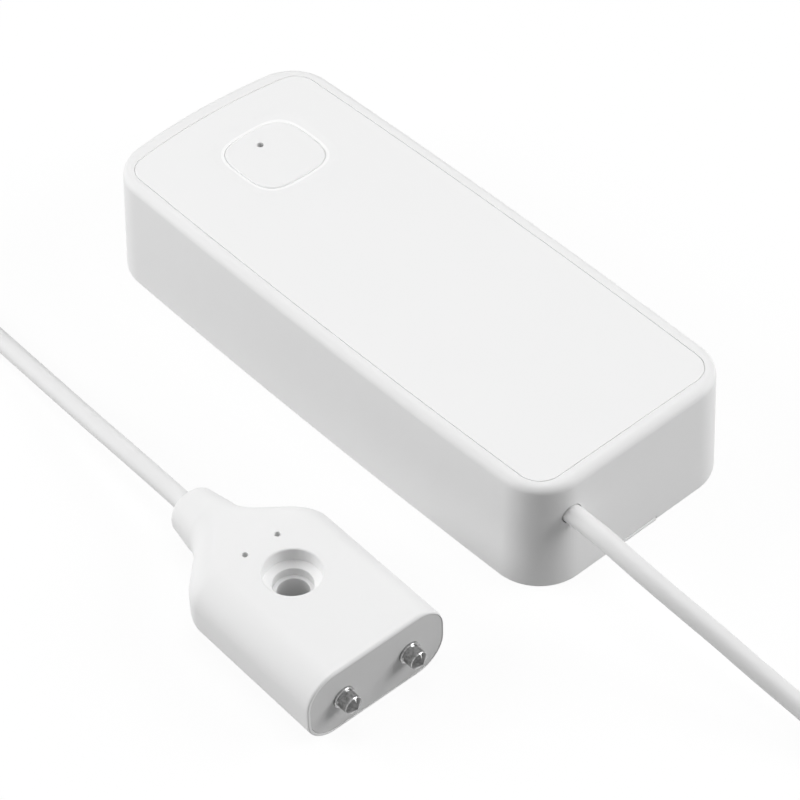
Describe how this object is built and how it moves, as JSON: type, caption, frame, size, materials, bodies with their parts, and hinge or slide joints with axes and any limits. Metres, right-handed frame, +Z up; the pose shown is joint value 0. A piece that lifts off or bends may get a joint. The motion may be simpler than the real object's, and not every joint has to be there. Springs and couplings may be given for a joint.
{
  "type": "water leak sensor",
  "caption": "Water leak sensor: a slim battery housing with a push button on top, joined by a thin lead to a flat screw-down probe with conical steel contact pins.",
  "frame": {"origin": "middle of the housing's foot, on the surface that it stands on", "axes": "+X along the housing towards the end where the lead leaves it, +Z up out of the button's face, +Y to the side away from the probe"},
  "size_m": [0.1767, 0.1123, 0.0175],
  "materials": {
    "housing_plastic": "satin white with a fine moulded grain",
    "panel_plastic": "satin white",
    "button_plastic": "satin white",
    "cover_plastic": "satin white with a fine moulded grain",
    "frame_plastic": "natural moulded",
    "probe_plastic": "satin white",
    "probe_cap_plastic": "satin white",
    "cable_jacket": "soft satin",
    "tie_plastic": "translucent satin",
    "black_plastic": "matt",
    "connector_plastic": "satin",
    "wire_insulation": "satin",
    "board_laminate": "lacquered",
    "radio_laminate": "lacquered",
    "led_resin": "clear resin",
    "cell_wrap": "gloss film",
    "shield_tin": "tinned",
    "spring_steel": "nickel plated",
    "screw_steel": "zinc plated",
    "pin_steel": "polished stainless steel"
  },
  "bodies": {
    "sensor": {"housing": "housing_plastic", "top_panel": "panel_plastic", "tact_switch": "black_plastic", "circuit_board": "board_laminate", "board_screws": "screw_steel", "status_led": "led_resin", "board_parts": "black_plastic", "radio_module": "radio_laminate", "radio_shield": "shield_tin", "lead_socket": "connector_plastic", "lead_plug": "connector_plastic", "lead_wires": "wire_insulation", "inner_frame": "frame_plastic", "frame_screws": "screw_steel", "battery_cells": "cell_wrap", "battery_springs": "spring_steel", "battery_contacts": "spring_steel", "cable_clamp": "frame_plastic", "clamp_screw": "screw_steel", "lead_entry": "cable_jacket", "cable_run_out": "cable_jacket", "cable_coil": "cable_jacket", "cable_tie": "tie_plastic", "cable_run_in": "cable_jacket", "lead_tail": "cable_jacket", "probe_shell": "probe_plastic", "probe_end_cap": "probe_cap_plastic", "probe_pins": "pin_steel", "probe_wires": "wire_insulation"},
    "button": {"button_cap": "button_plastic", "switch_plunger": "black_plastic"},
    "cover": {"battery_cover": "cover_plastic"}
  },
  "joints": [
    {"name": "button_press", "type": "slide", "parent": "sensor", "child": "button", "axis": [0, 0, -1], "range_m": [0, 0.0004], "stiffness_N_per_m": 2500},
    {"name": "cover_lift", "type": "slide", "parent": "sensor", "child": "cover", "axis": [0, 0, -1], "range_m": [0, 0.012]}
  ]
}
